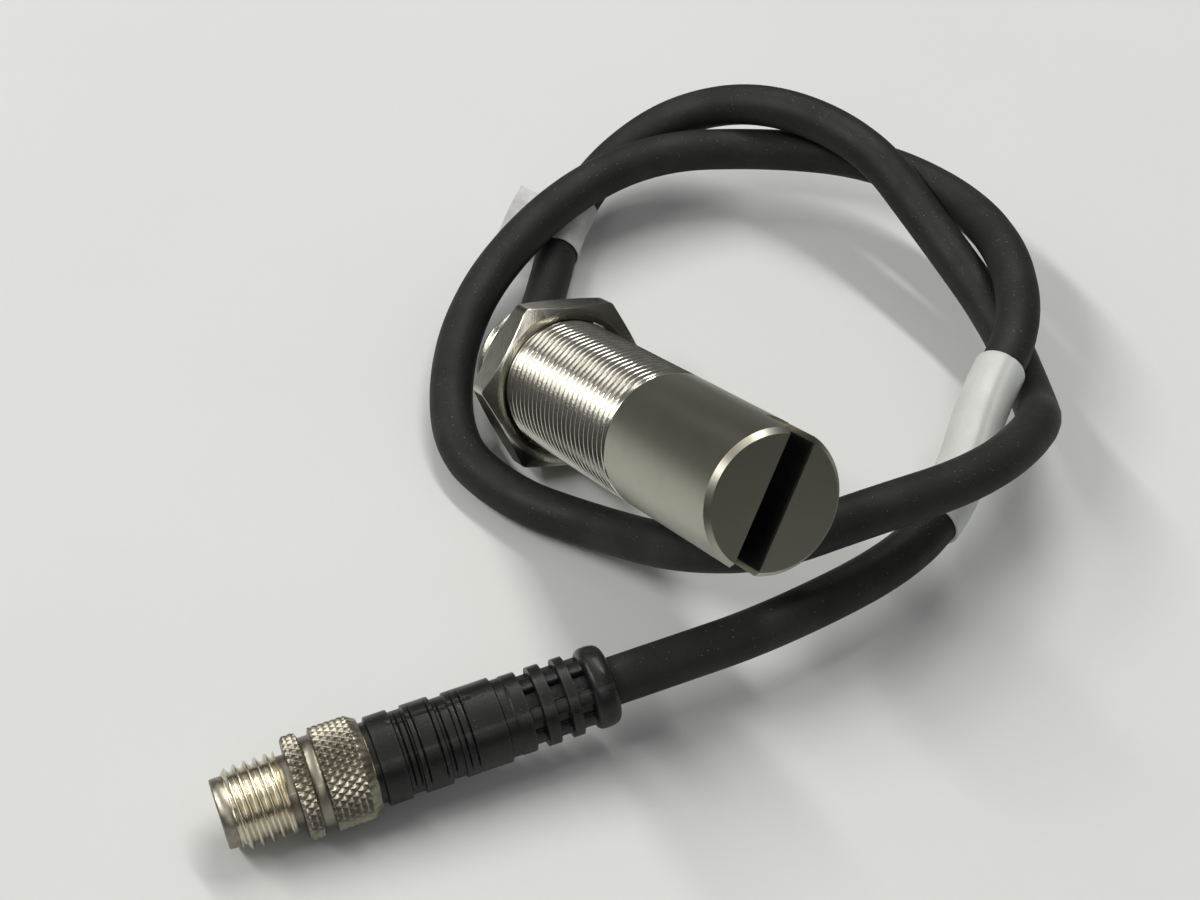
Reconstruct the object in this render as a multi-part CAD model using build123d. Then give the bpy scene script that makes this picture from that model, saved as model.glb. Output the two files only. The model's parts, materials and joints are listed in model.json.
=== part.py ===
from build123d import *
import math
import os

# A slotted-face proximity sensor in a threaded metal barrel, with one lock nut, a short
# round cable in two loose turns and a male screw plug. All sizes are in millimetres.
#
# Row frame: +Z up from the table at z = 0. The barrel's axis lies in the XZ plane and its
# sensing face looks towards +X and up, because the barrel leans on its nut and on the cable.
# Two local frames are used: the sensor's has +Z along the barrel from its rear end to its
# face, and the plug's has +Z along the plug from its tip to its tail.

# Barrel
BARREL_DIAMETER = 14.0      # crest of the M14 x 1 thread, and the smooth head
BARREL_LENGTH = 52.0
BARREL_BORE = BARREL_DIAMETER - 2.6
FACE_CHAMFER = 0.5
SLOT_WIDTH = 2.85
SLOT_DEPTH = 5.0
SLOT_FLOOR = 1.2            # wall between the slot's floor and the bore
SLOT_TURN = -38.5           # degrees about the barrel's axis
WINDOW_SIZE = (8.0, 2.0)

# Nut and washer
NUT_ACROSS_FLATS = BARREL_DIAMETER + 3.0
NUT_THICKNESS = 4.0
NUT_FROM_FACE = 43.0        # from the sensing face to the nut's front
NUT_TURN = 15.4             # degrees about the barrel's axis
NUT_CHAMFER_ANGLE = 30.0
WASHER_DIAMETER = BARREL_DIAMETER + 2.4
WASHER_THICKNESS = 0.8
WASHER_TEETH = 12
THREAD_CLEARANCE = 0.05     # nut and washer on the thread crest

# Oscillator coil behind the face
CORE_DIAMETER = 10.0
CORE_HEIGHT = 4.0
CORE_POST = 4.2
CORE_RIM = 0.9
CORE_BACK = 1.2
BOBBIN_WALL = 0.3
CARRIER_WALL = 0.5
CARRIER_FLOOR = 0.8
CARRIER_SKIRT = 3.0

# Circuit board and its sleeve
BOARD_WIDTH = 9.8
BOARD_THICKNESS = 1.0
BOARD_START = 9.5           # from the barrel's rear end
SLEEVE_WALL = 0.4
POTTING_START = 6.2
POTTING_LENGTH = 2.1

# Rear gland
GLAND_LENGTH = 6.0          # inside the barrel
GLAND_FLANGE = 1.0
GLAND_FLANGE_DIAMETER = BARREL_DIAMETER - 1.0
GLAND_NOSE = 3.0            # from the barrel's end to the cable's exit
GLAND_NOSE_DIAMETER = 8.4
GLAND_POCKET = 4.0          # length of cable held in the gland
SEAL_SECTION = 1.0
SEAL_PLACE = 3.8

# Cable and its cores
CABLE_DIAMETER = 4.7
CABLE_CLEARANCE = 0.1       # radial, in the gland, the boot and the sleeves
CORE_WIRE_DIAMETER = 0.9
CORE_WIRE_CIRCLE = 2.6      # diameter of the circle that the three cores stand on
SLEEVE_THICKNESS = 0.3
LABEL_THICKNESS = 0.12
LABEL_FLAG = (6.0, 5.0)

# Plug, measured from its tip
PLUG_THREAD_DIAMETER = 8.0  # M8 x 1
PLUG_PILOT_DIAMETER = 6.7
PLUG_PILOT_LENGTH = 1.3
PLUG_THREAD_END = 6.3
PLUG_NECK_DIAMETER = 6.8
PLUG_GRIP_START = 7.2
PLUG_GRIP_GROOVE = (8.8, 9.8)
PLUG_GRIP_END = 13.6
PLUG_RING_END = 14.4
PLUG_GRIP_DIAMETER = 10.0
PLUG_GROOVE_DIAMETER = 8.8
PLUG_FRONT_BORE = 5.8
PLUG_REAR_BORE = 7.1
PLUG_BORE_STEP = 8.5
RUNNING = 0.05              # radial running clearance inside the coupling ring
INSERT_FACE = 5.0
INSERT_END = 16.0
PIN_DIAMETER = 1.0
PIN_TIP = 1.2
PIN_CLEARANCE = 0.02
CLIP_PLACE = 12.0
CLIP_THICKNESS = 0.6
CLIP_HEIGHT = 0.6
PLUG_CORE_END = 17.2
BOOT_COLLAR_DIAMETER = 7.8
BOOT_COLLAR_LENGTH = 0.6
BOOT_DIAMETER = 8.6
BOOT_TAIL_DIAMETER = 7.9
BOOT_CORE_DIAMETER = 6.2
BOOT_LENGTH = 23.8
BOOT_POCKET = 2.0
BOOT_HOLLOW_DIAMETER = 3.8

# Places in the row frame
SENSOR_TILT = 25.0          # the barrel's axis above the table
FACE_X = 24.4               # brings the sensor's box over the origin
PLUG_TIP = (14.9, -52.3)
PLUG_HEADING = 81.7         # from +X towards +Y, of the line from the tip to the tail
PLUG_RISE = 4.5

# The cable's corners between the gland and the boot. The first and the last two corners
# follow from the gland and the boot, so that the cable leaves both of them straight.
EXIT_RUN = 5.8              # from the pocket's floor to the first corner
ENTRY_RUN = 7.5
ROUTE = [
    (-31.0, 4.0, 2.8), (-37.0, 9.0, 2.5), (-45.0, 15.0, 2.8), (-50.5, 23.5, 5.5),
    (-50.5, 33.5, 9.4), (-43.5, 41.5, 12.8), (-31.0, 47.0, 12.5), (-18.5, 47.5, 9.2),
    (-4.5, 47.5, 6.0), (7.0, 43.5, 5.2), (15.0, 37.0, 12.1), (19.7, 25.0, 15.1),
    (20.6, 12.0, 17.1), (17.8, 2.9, 15.0), (9.1, -1.1, 8.1), (-1.5, -4.3, 3.0),
    (-10.0, -10.0, 2.6), (-21.0, -11.8, 2.4), (-36.0, -2.5, 4.6), (-44.0, 12.5, 7.9),
    (-46.0, 27.0, 9.0), (-42.0, 40.0, 7.4), (-34.0, 49.0, 7.5), (-22.5, 53.0, 8.9),
    (-9.5, 51.5, 11.2), (2.0, 45.0, 11.8), (8.0, 35.5, 10.7), (15.0, 27.5, 8.4),
    (20.5, 18.0, 8.6), (22.0, 2.5, 7.7),
]
LABEL_CORNER = 4            # corner of the path that the flag label is wrapped round
SLEEVE_CORNERS = (28, 29)   # corners of the path that the marker sleeve covers


def tube(outer, inner, start, end):
    """A plain ring about Z between two heights, from its two diameters."""
    ring = Cylinder(outer / 2, end - start) - Cylinder(inner / 2, end - start)
    return Pos(0, 0, (start + end) / 2) * ring


def disc(diameter, start, end):
    """A plain cylinder about Z between two heights."""
    return Pos(0, 0, (start + end) / 2) * Cylinder(diameter / 2, end - start)


def turned(points):
    """A solid of revolution about Z from (radius, height) corners."""
    outline = Polyline(*[(r, 0, z) for r, z in points], close=True)
    return revolve(make_face(outline), Axis.Z)


def on_circle(diameter, count):
    """Places evenly spread on a circle about Z."""
    return [
        (diameter / 2 * math.cos(2 * math.pi * k / count), diameter / 2 * math.sin(2 * math.pi * k / count))
        for k in range(count)
    ]


# ---- sensor, in its own frame ----

BORE_END = BARREL_LENGTH - SLOT_DEPTH - SLOT_FLOOR
NUT_FRONT = BARREL_LENGTH - NUT_FROM_FACE
NUT_REAR = NUT_FRONT - NUT_THICKNESS
WASHER_FRONT = NUT_REAR - THREAD_CLEARANCE
CARRIER_BORE = CORE_DIAMETER + 2 * RUNNING
CARRIER_DIAMETER = CARRIER_BORE + 2 * CARRIER_WALL
CORE_REAR = BORE_END - CORE_HEIGHT
BOARD_END = CORE_REAR - CARRIER_FLOOR
SLEEVE_DIAMETER = BARREL_BORE - 2 * RUNNING
SLEEVE_END = CORE_REAR - CARRIER_FLOOR - CARRIER_SKIRT - RUNNING
POTTING_END = POTTING_START + POTTING_LENGTH


def threaded_barrel():
    radius = BARREL_DIAMETER / 2
    body = turned([
        (0, 0), (radius - FACE_CHAMFER, 0), (radius, FACE_CHAMFER),
        (radius, BARREL_LENGTH - FACE_CHAMFER), (radius - FACE_CHAMFER, BARREL_LENGTH), (0, BARREL_LENGTH),
    ])
    slot = Box(2 * BARREL_DIAMETER, SLOT_WIDTH, 2 * SLOT_DEPTH)
    window_hole = Box(*WINDOW_SIZE, 2 * SLOT_DEPTH + 2 * SLOT_FLOOR)
    cuts = Pos(0, 0, BARREL_LENGTH) * Rot(0, 0, SLOT_TURN) * (slot + window_hole)
    return body - disc(BARREL_BORE, 0, BORE_END) - cuts


def sensing_window():
    return Pos(0, 0, BORE_END + SLOT_FLOOR / 2) * Rot(0, 0, SLOT_TURN) * Box(*WINDOW_SIZE, SLOT_FLOOR)


def groove_diameters():
    """The inner and outer diameters of the ring-shaped groove in the ferrite core."""
    return CORE_POST, CORE_DIAMETER - 2 * CORE_RIM


def ferrite_core():
    inner, outer = groove_diameters()
    return disc(CORE_DIAMETER, CORE_REAR, BORE_END) - tube(outer, inner, CORE_REAR + CORE_BACK, BORE_END)


def coil_bobbin():
    inner, outer = groove_diameters()
    inner, outer = inner + 2 * RUNNING, outer - 2 * RUNNING
    start, end = CORE_REAR + CORE_BACK, BORE_END
    spool = tube(outer, inner, start, end)
    return spool - tube(outer + 1, inner + 2 * BOBBIN_WALL, start + BOBBIN_WALL, end - BOBBIN_WALL)


def coil_winding():
    inner, outer = groove_diameters()
    start, end = CORE_REAR + CORE_BACK + BOBBIN_WALL, BORE_END - BOBBIN_WALL
    return tube(outer - 4 * RUNNING, inner + 2 * BOBBIN_WALL + 4 * RUNNING, start, end)


def core_carrier():
    skirt_end = CORE_REAR - CARRIER_FLOOR - CARRIER_SKIRT
    cup = tube(CARRIER_DIAMETER, CARRIER_BORE, skirt_end, BORE_END)
    return cup + disc(CARRIER_DIAMETER, CORE_REAR - CARRIER_FLOOR, CORE_REAR)


def circuit_board():
    length = BOARD_END - BOARD_START
    return Pos(0, 0, BOARD_START + length / 2) * Box(BOARD_THICKNESS, BOARD_WIDTH, length)


def board_components():
    """Chips and passives that stand on both faces of the board, as (height, y, z, width, length)."""
    chips = [(1.4, 0.0, 26.0, 5.0, 6.2), (1.0, -1.8, 33.5, 2.0, 3.2), (1.0, 1.8, 33.5, 2.0, 3.2),
             (1.6, 0.0, 17.5, 3.4, 4.6)]
    passives = [(0.8, 2.6 * side, 14.0 + 3.4 * k, 1.25, 2.0) for side in (-1, 1) for k in range(7)]
    made = []
    for face, rows in ((1, chips), (-1, passives)):
        for height, y, z, width, length in rows:
            x = face * (BOARD_THICKNESS + height) / 2
            made.append(Pos(x, y, z) * Box(height, width, length))
    return Compound(children=made)


def insulating_sleeve():
    return tube(SLEEVE_DIAMETER, SLEEVE_DIAMETER - 2 * SLEEVE_WALL, POTTING_END, SLEEVE_END)


def wire_group(start, end, clearance=0.0):
    """The cable's three cores between two heights, or the holes for them."""
    radius = CORE_WIRE_DIAMETER / 2 + clearance
    length = end - start
    return [
        Pos(x, y, (start + end) / 2) * Cylinder(radius, length)
        for x, y in on_circle(CORE_WIRE_CIRCLE, 3)
    ]


CABLE_IN_GLAND = GLAND_POCKET - GLAND_NOSE


def sensor_wires():
    return Compound(children=wire_group(CABLE_IN_GLAND, BOARD_START))


def potting_plug():
    plug = disc(SLEEVE_DIAMETER, POTTING_START, POTTING_END)
    for hole in wire_group(POTTING_START - 1, POTTING_END + 1, RUNNING):
        plug -= hole
    return plug


def seal_circle():
    """The diameter of the circle that the seal's round section follows."""
    return BARREL_BORE - SEAL_SECTION - 2 * RUNNING


def rear_gland():
    outer = (BARREL_BORE - 2 * RUNNING) / 2
    flange, nose = GLAND_FLANGE_DIAMETER / 2, GLAND_NOSE_DIAMETER / 2
    body = turned([
        (0, GLAND_LENGTH), (outer, GLAND_LENGTH), (outer, 0), (flange, 0), (flange, -GLAND_FLANGE * 0.6),
        (flange - GLAND_FLANGE * 0.4, -GLAND_FLANGE), (nose, -GLAND_FLANGE), (nose - 0.6, -GLAND_NOSE),
        (0, -GLAND_NOSE),
    ])
    pocket = disc(CABLE_DIAMETER + 2 * CABLE_CLEARANCE, -GLAND_NOSE, CABLE_IN_GLAND)
    wires = disc(CORE_WIRE_CIRCLE + CORE_WIRE_DIAMETER + 4 * RUNNING, CABLE_IN_GLAND, GLAND_LENGTH)
    floor = seal_circle() - SEAL_SECTION - 2 * RUNNING
    half = SEAL_SECTION / 2 + RUNNING
    groove = tube(BARREL_BORE, floor, SEAL_PLACE - half, SEAL_PLACE + half)
    return body - pocket - wires - groove


def gland_seal():
    return Pos(0, 0, SEAL_PLACE) * Torus(seal_circle() / 2, SEAL_SECTION / 2)


def lock_nut():
    """A hexagon cut back by a cone at each end, with a round hole at the thread's crest."""
    corner = NUT_ACROSS_FLATS / math.sqrt(3)
    hexagon = extrude(RegularPolygon(corner, 6), NUT_THICKNESS)
    edge = NUT_ACROSS_FLATS / 2 - 0.15
    drop = (corner + 0.2 - edge) * math.tan(math.radians(NUT_CHAMFER_ANGLE))
    blank = turned([
        (0, 0), (edge, 0), (corner + 0.2, drop), (corner + 0.2, NUT_THICKNESS - drop),
        (edge, NUT_THICKNESS), (0, NUT_THICKNESS),
    ])
    bore = BARREL_DIAMETER + 2 * THREAD_CLEARANCE
    nut = (Rot(0, 0, NUT_TURN) * hexagon & blank) - disc(bore, 0, NUT_THICKNESS)
    return Pos(0, 0, NUT_REAR) * nut


def lock_washer():
    """A flat ring whose inner teeth reach the thread's crest."""
    bore = BARREL_DIAMETER + 2 * THREAD_CLEARANCE
    start = WASHER_FRONT - WASHER_THICKNESS
    ring = tube(WASHER_DIAMETER, bore, start, WASHER_FRONT)
    gap = math.pi * bore / WASHER_TEETH / 2
    for k in range(WASHER_TEETH):
        notch = Pos(bore / 2, 0, 0) * Box(1.0, gap, 4 * WASHER_THICKNESS)
        ring -= Pos(0, 0, start) * Rot(0, 0, 360 * k / WASHER_TEETH) * notch
    return ring


# ---- plug, in its own frame ----

CLIP_GROOVE = (CLIP_PLACE - RUNNING, CLIP_PLACE + CLIP_THICKNESS + RUNNING)
PLUG_CORE_DIAMETER = PLUG_REAR_BORE - 2 * RUNNING
INSERT_DIAMETER = PLUG_FRONT_BORE - 2 * RUNNING
BOOT_START = PLUG_RING_END + RUNNING
BOOT_END = PLUG_RING_END + BOOT_LENGTH
CABLE_IN_BOOT = BOOT_END - BOOT_POCKET


def coupling_ring():
    """The male thread and the knurled grip, turned in one piece, with a bore in two steps."""
    thread, pilot, neck = PLUG_THREAD_DIAMETER / 2, PLUG_PILOT_DIAMETER / 2, PLUG_NECK_DIAMETER / 2
    grip, groove = PLUG_GRIP_DIAMETER / 2, PLUG_GROOVE_DIAMETER / 2
    front, back = PLUG_GRIP_GROOVE
    body = turned([
        (0, 0), (pilot, 0), (pilot, PLUG_PILOT_LENGTH), (thread, PLUG_PILOT_LENGTH),
        (thread, PLUG_THREAD_END), (neck, PLUG_THREAD_END), (neck, PLUG_GRIP_START),
        (grip, PLUG_GRIP_START), (grip, front), (groove, front), (groove, back), (grip, back),
        (grip, PLUG_GRIP_END), (groove, PLUG_RING_END), (0, PLUG_RING_END),
    ])
    body -= disc(PLUG_FRONT_BORE, 0, PLUG_BORE_STEP)
    body -= disc(PLUG_REAR_BORE, PLUG_BORE_STEP, PLUG_RING_END)
    return body - disc(PLUG_REAR_BORE + CLIP_HEIGHT, *CLIP_GROOVE)


def contact_carrier():
    carrier = disc(INSERT_DIAMETER, INSERT_FACE, INSERT_END)
    for x, y in on_circle(CORE_WIRE_CIRCLE, 3):
        carrier -= Pos(x, y, INSERT_END) * Cylinder(PIN_DIAMETER / 2 + PIN_CLEARANCE, 3 * INSERT_END)
    return carrier


def contact_pins():
    length = INSERT_END - PIN_TIP
    pins = []
    for x, y in on_circle(CORE_WIRE_CIRCLE, 3):
        pin = Cylinder(PIN_DIAMETER / 2, length)
        pin = fillet(pin.edges().sort_by(Axis.Z)[0], 0.35)
        pins.append(Pos(x, y, PIN_TIP + length / 2) * pin)
    return Compound(children=pins)


def plug_core():
    core = tube(PLUG_CORE_DIAMETER, INSERT_DIAMETER + 2 * RUNNING, PLUG_BORE_STEP + RUNNING, PLUG_CORE_END)
    groove = tube(PLUG_CORE_DIAMETER + 1, PLUG_CORE_DIAMETER - CLIP_HEIGHT, *CLIP_GROOVE)
    return core - groove


def ring_clip():
    """A split ring that sits half in the core's groove and half in the coupling ring's."""
    inner = PLUG_CORE_DIAMETER - CLIP_HEIGHT + 2 * RUNNING
    outer = PLUG_REAR_BORE + CLIP_HEIGHT - 2 * RUNNING
    ring = tube(outer, inner, CLIP_PLACE, CLIP_PLACE + CLIP_THICKNESS)
    return ring - Pos(outer / 2, 0, CLIP_PLACE) * Box(2.0, 1.2, 4 * CLIP_THICKNESS)


def plug_wires():
    return Compound(children=wire_group(INSERT_END, CABLE_IN_BOOT))


def boot_outline():
    """Corners of the boot's outside as (radius, distance from its front): bands, grooves and rings."""
    front, tail, core = BOOT_DIAMETER / 2, BOOT_TAIL_DIAMETER / 2, BOOT_CORE_DIAMETER / 2
    collar = BOOT_COLLAR_DIAMETER / 2
    low = front - 0.3
    ring = tail - 0.2
    steps = [
        (collar, RUNNING, BOOT_COLLAR_LENGTH), (front, BOOT_COLLAR_LENGTH, 2.9), (low, 2.9, 4.2),
        (front - 0.05, 4.2, 6.9), (low - 0.1, 6.9, 8.2), (front - 0.2, 8.2, 12.8), (low - 0.15, 12.8, 13.8),
        (ring, 13.8, 15.3), (core, 15.3, 16.4), (ring, 16.4, 17.7), (core, 17.7, 18.9), (ring, 18.9, 20.0),
        (core, 20.0, 21.3),
    ]
    corners = []
    for radius, start, end in steps:
        corners += [(radius, start), (radius, end)]
    return corners + [(tail, 21.3), (tail, BOOT_LENGTH - 0.5), (tail - 0.5, BOOT_LENGTH)]


def strain_relief_boot():
    outline = [(r, PLUG_RING_END + z) for r, z in boot_outline()]
    body = turned([(0, outline[0][1]), *outline, (0, outline[-1][1])])
    body -= disc(PLUG_CORE_DIAMETER + 2 * RUNNING, PLUG_RING_END, PLUG_CORE_END)
    body -= disc(BOOT_HOLLOW_DIAMETER, PLUG_CORE_END, CABLE_IN_BOOT)
    return body - disc(CABLE_DIAMETER + 2 * CABLE_CLEARANCE, CABLE_IN_BOOT, BOOT_END)


# ---- places ----

def lowest(turn, *parts):
    """The height of the lowest point of some parts once they are turned."""
    return min((turn * part()).bounding_box().min.Z for part in parts)


def sensor_place():
    """Tilts the barrel and lowers it until the lowest edge of its rear half is on the table."""
    tilt = Rot(0, 90 - SENSOR_TILT, 0)
    face = tilt * Pos(0, 0, BARREL_LENGTH)
    low = lowest(tilt, lock_nut, threaded_barrel, rear_gland)
    return Pos(FACE_X - face.position.X, 0, -low) * tilt


def plug_place():
    """Points the plug's +Z along its heading, tail up, and stands it on its coupling ring."""
    turn = Rot(0, 0, PLUG_HEADING) * Rot(0, 90 - PLUG_RISE, 0)
    return Pos(*PLUG_TIP, -lowest(turn, coupling_ring)) * turn


def point_on(place, height):
    return (place * Pos(0, 0, height)).position


def cable_corners(sensor, plug):
    """All corners of the cable's route, from the gland's pocket to the boot's."""
    first = [point_on(sensor, CABLE_IN_GLAND), point_on(sensor, CABLE_IN_GLAND - EXIT_RUN)]
    last = [point_on(plug, CABLE_IN_BOOT + ENTRY_RUN), point_on(plug, CABLE_IN_BOOT)]
    return first + [Vector(*p) for p in ROUTE] + last


def corner_radii(points):
    """The largest arc that each corner's two runs allow."""
    radii = []
    for before, corner, after in zip(points, points[1:], points[2:]):
        run_in, run_out = corner - before, after - corner
        half_turn = math.radians(run_in.get_angle(run_out)) / 2
        radii.append(0.45 * min(run_in.length, run_out.length) / math.tan(half_turn))
    return radii


def along(path, outer, inner=0.0):
    """A round tube along a path, hollow if it has an inner diameter."""
    start = Plane(origin=path @ 0, z_dir=path % 0)
    solid = sweep(start * Circle(outer / 2), path)
    if inner:
        solid -= sweep(start * Circle(inner / 2), path)
    return solid


def stretch(path, first, last):
    """The part of the cable's path from one corner's arc to another's, both whole."""
    edges = path.edges()
    return Wire(edges[2 * first - 1:2 * last])


def flag_label(path):
    """A thin label wrapped once round the cable, with a flat flag that stands out."""
    arc = stretch(path, LABEL_CORNER, LABEL_CORNER)
    inner = CABLE_DIAMETER + 2 * CABLE_CLEARANCE
    outer = inner + 2 * LABEL_THICKNESS
    wrap = along(arc, outer, inner)
    across = (arc % 0.5).cross(Vector(0, 0, 1)).normalized()
    middle = Plane(origin=arc @ 0.5, x_dir=-across, z_dir=across.cross(arc % 0.5))
    length, reach = LABEL_FLAG
    flag = Pos(outer / 2 - LABEL_THICKNESS / 2 + reach / 2, 0, 0) * Box(reach, length, 2 * LABEL_THICKNESS)
    return wrap + middle * flag


def report_cable(points, radii, cable):
    length = cable.volume / (math.pi * CABLE_DIAMETER ** 2 / 4)
    print("cable corners, mm:")
    for point, radius in zip(points, [0.0, *radii, 0.0]):
        print(f"  {point.X:8.2f} {point.Y:8.2f} {point.Z:8.2f}   radius {radius:6.1f}")
    print(f"cable length from its volume {length:.1f} mm, smallest radius {min(radii):.1f} mm")


def main():
    sensor, plug = sensor_place(), plug_place()
    points = cable_corners(sensor, plug)
    radii = corner_radii(points)
    path = FilletPolyline(*points, radius=radii)
    cable = along(path, CABLE_DIAMETER)
    sleeve_bore = CABLE_DIAMETER + 2 * CABLE_CLEARANCE
    nodes = {
        "cable": cable,
        "marker_sleeve": along(stretch(path, *SLEEVE_CORNERS), sleeve_bore + 2 * SLEEVE_THICKNESS, sleeve_bore),
        "flag_label": flag_label(path),
    }
    sensor_parts = [
        threaded_barrel, sensing_window, ferrite_core, coil_bobbin, coil_winding, core_carrier,
        circuit_board, board_components, insulating_sleeve, potting_plug, sensor_wires, rear_gland,
        gland_seal, lock_nut, lock_washer,
    ]
    plug_parts = [
        coupling_ring, contact_carrier, contact_pins, plug_core, ring_clip, plug_wires, strain_relief_boot,
    ]
    for place, parts in ((sensor, sensor_parts), (plug, plug_parts)):
        for part in parts:
            nodes[part.__name__] = place * part()
    os.makedirs("parts", exist_ok=True)
    for name, shape in nodes.items():
        export_step(shape, f"parts/{name}.step")
    report_cable(points, radii, cable)
    print("path length", round(path.length, 1), "mm")
    face, rear = point_on(sensor, BARREL_LENGTH), point_on(sensor, 0)
    print("face centre", tuple(face), "rear end", tuple(rear))


main()
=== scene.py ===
# %% [markdown]
# # A slotted proximity sensor on its cable
# The object is a threaded metal barrel with a slot across its sensing face, one lock nut, a
# black cable in two loose turns and a male screw plug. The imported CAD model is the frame:
# it fixes every place and size, and this lesson only adds the looks. Lengths are in metres in
# the scene and in millimetres inside the shape functions, where a machinist would think in them.

import json
import math

import bmesh
import bpy
import numpy as np
from mathutils import Matrix, Vector


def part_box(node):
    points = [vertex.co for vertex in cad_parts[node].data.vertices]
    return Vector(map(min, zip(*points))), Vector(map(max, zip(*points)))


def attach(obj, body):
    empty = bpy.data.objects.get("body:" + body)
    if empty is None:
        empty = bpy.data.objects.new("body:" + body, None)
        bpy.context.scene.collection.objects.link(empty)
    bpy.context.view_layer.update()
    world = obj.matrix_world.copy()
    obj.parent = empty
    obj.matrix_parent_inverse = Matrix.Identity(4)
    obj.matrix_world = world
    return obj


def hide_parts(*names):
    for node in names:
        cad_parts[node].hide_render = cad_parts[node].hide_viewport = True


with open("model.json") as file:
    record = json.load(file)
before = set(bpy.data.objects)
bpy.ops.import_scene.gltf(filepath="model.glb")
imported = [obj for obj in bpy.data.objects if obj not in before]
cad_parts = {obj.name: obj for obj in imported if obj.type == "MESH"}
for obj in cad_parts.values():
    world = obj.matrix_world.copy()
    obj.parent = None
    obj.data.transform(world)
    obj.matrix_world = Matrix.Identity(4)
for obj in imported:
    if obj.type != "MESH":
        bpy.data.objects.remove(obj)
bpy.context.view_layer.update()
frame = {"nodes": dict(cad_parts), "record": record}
record = frame["record"]
SENSOR, NUT, COUPLING = "sensor_and_cable", "nut", "coupling"

# %% [markdown]
# ## Camera
# A small part is best seen from nearby through a long lens, so that the barrel hardly narrows
# towards its far end. The camera could be aimed with a constraint, but one fixed direction is
# simpler to read, and it keeps the horizon level.

# %% Place the camera
camera_data = bpy.data.cameras.new("studio_camera")
camera_data.lens = 75.9
camera_data.sensor_width = 36.0
camera_data.clip_start = 0.01
camera = bpy.data.objects.new("studio_camera", camera_data)
bpy.context.collection.objects.link(camera)
camera.location = (0.1544, -0.0887, 0.1915)
sight = Vector((-0.6208, 0.3385, -0.7071))
camera.rotation_euler = sight.to_track_quat("-Z", "Y").to_euler()
bpy.context.scene.camera = camera
print("camera", tuple(round(v, 4) for v in camera.location), "lens", camera_data.lens)

# %% [markdown]
# ## Cable
# The real cable is a 4.7 mm round jacket, stiff enough to keep the bends it was stored in. A
# chain of arcs would show a kink in its highlights wherever two of them meet, so it is one
# NURBS spline, whose curvature changes smoothly, with the route's corners as control points.

# %% Lay the cable
CABLE_RADIUS = 0.00235
THIN = 0.001  # a point's own radius also widens a curve's box, so it is small and the bevel large
ROUTE = [
    (-0.02182, 0, 0.00657), (-0.02708, 0, 0.00412), (-0.031, 0.004, 0.0028),
    (-0.037, 0.009, 0.0025), (-0.045, 0.015, 0.0028), (-0.0505, 0.0235, 0.0055),
    (-0.0505, 0.0335, 0.0094), (-0.0435, 0.0415, 0.0128), (-0.03135, 0.0472, 0.0129),
    (-0.01885, 0.0477, 0.0096), (-0.0047, 0.0477, 0.0064), (0.0072, 0.044, 0.0056),
    (0.0155, 0.0379, 0.0123), (0.0208, 0.0267, 0.0154), (0.0211, 0.0124, 0.0174),
    (0.0187, 0.0032, 0.015), (0.0091, -0.0011, 0.0081), (-0.0015, -0.0043, 0.003),
    (-0.01, -0.01, 0.0026), (-0.021, -0.0118, 0.0024), (-0.036, -0.0025, 0.0046),
    (-0.044, 0.0125, 0.0079), (-0.046, 0.027, 0.009), (-0.042, 0.04, 0.0074),
    (-0.03435, 0.0492, 0.0079), (-0.02285, 0.0532, 0.0093), (-0.0098, 0.0517, 0.0116),
    (0.002, 0.0453, 0.0121), (0.0083, 0.0359, 0.0107), (0.0157, 0.0281, 0.0081),
    (0.0212, 0.0186, 0.0083), (0.022, 0.0025, 0.0077), (0.02119, -0.00919, 0.00785),
    (0.02011, -0.01659, 0.00726),
]


def nurbs_line(name, corners):
    """A curve object of one smooth open spline pulled towards the points."""
    curve = bpy.data.curves.new(name, "CURVE")
    curve.dimensions = "3D"
    spline = curve.splines.new("NURBS")
    spline.points.add(len(corners) - 1)
    weighted = np.ones((len(corners), 4))
    weighted[:, :3] = corners
    spline.points.foreach_set("co", weighted.ravel())
    spline.order_u = 3
    spline.use_endpoint_u = True
    spline.resolution_u = 14
    spline.points.foreach_set("radius", np.full(len(corners), THIN))
    obj = bpy.data.objects.new(name, curve)
    bpy.context.collection.objects.link(obj)
    return obj


cable = nurbs_line("cable_jacket", ROUTE)
bare_mesh = bpy.data.meshes.new_from_object(cable)
cable_line = np.empty(len(bare_mesh.vertices) * 3)
bare_mesh.vertices.foreach_get("co", cable_line)
cable_line = cable_line.reshape(-1, 3)
cable_reach = np.concatenate([[0.0], np.cumsum(np.linalg.norm(np.diff(cable_line, axis=0), axis=1))])
cable.data.bevel_depth = CABLE_RADIUS / THIN
cable.data.bevel_resolution = 8
cable.data.use_fill_caps = True
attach(cable, SENSOR)
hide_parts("cable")
print("cable length", round(cable_reach[-1] * 1000, 1), "mm")

# %% [markdown]
# ## From formulas to meshes
# Every metal and moulded piece here is a surface: a rule that turns two parameters into a point.
# Building such pieces by hand from primitives would need many steps that can't be reread. Worked
# out as whole numpy arrays, a shape is a few lines, and its mesh is filled in one go.

# %% Grid, lathe and mesh helpers


def grid_faces(rows, columns, wrap_rows=False):
    """Four-cornered faces between neighbouring points of a grid stored row by row. Columns always
    close into a ring, and rows do so when asked."""
    i = np.arange(rows if wrap_rows else rows - 1)[:, None]
    j = np.arange(columns)[None, :]
    i_next, j_next = (i + 1) % rows, (j + 1) % columns
    corners = [i * columns + j, i * columns + j_next, i_next * columns + j_next, i_next * columns + j]
    return np.stack(np.broadcast_arrays(*corners), -1).reshape(-1, 4)


def round_z(radius, angle, height):
    """Points at a radius and an angle about the z axis: x = r cos t, y = r sin t."""
    radius, angle, height = np.broadcast_arrays(radius, angle, height)
    return np.stack([radius * np.cos(angle), radius * np.sin(angle), height], -1).reshape(-1, 3)


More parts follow.
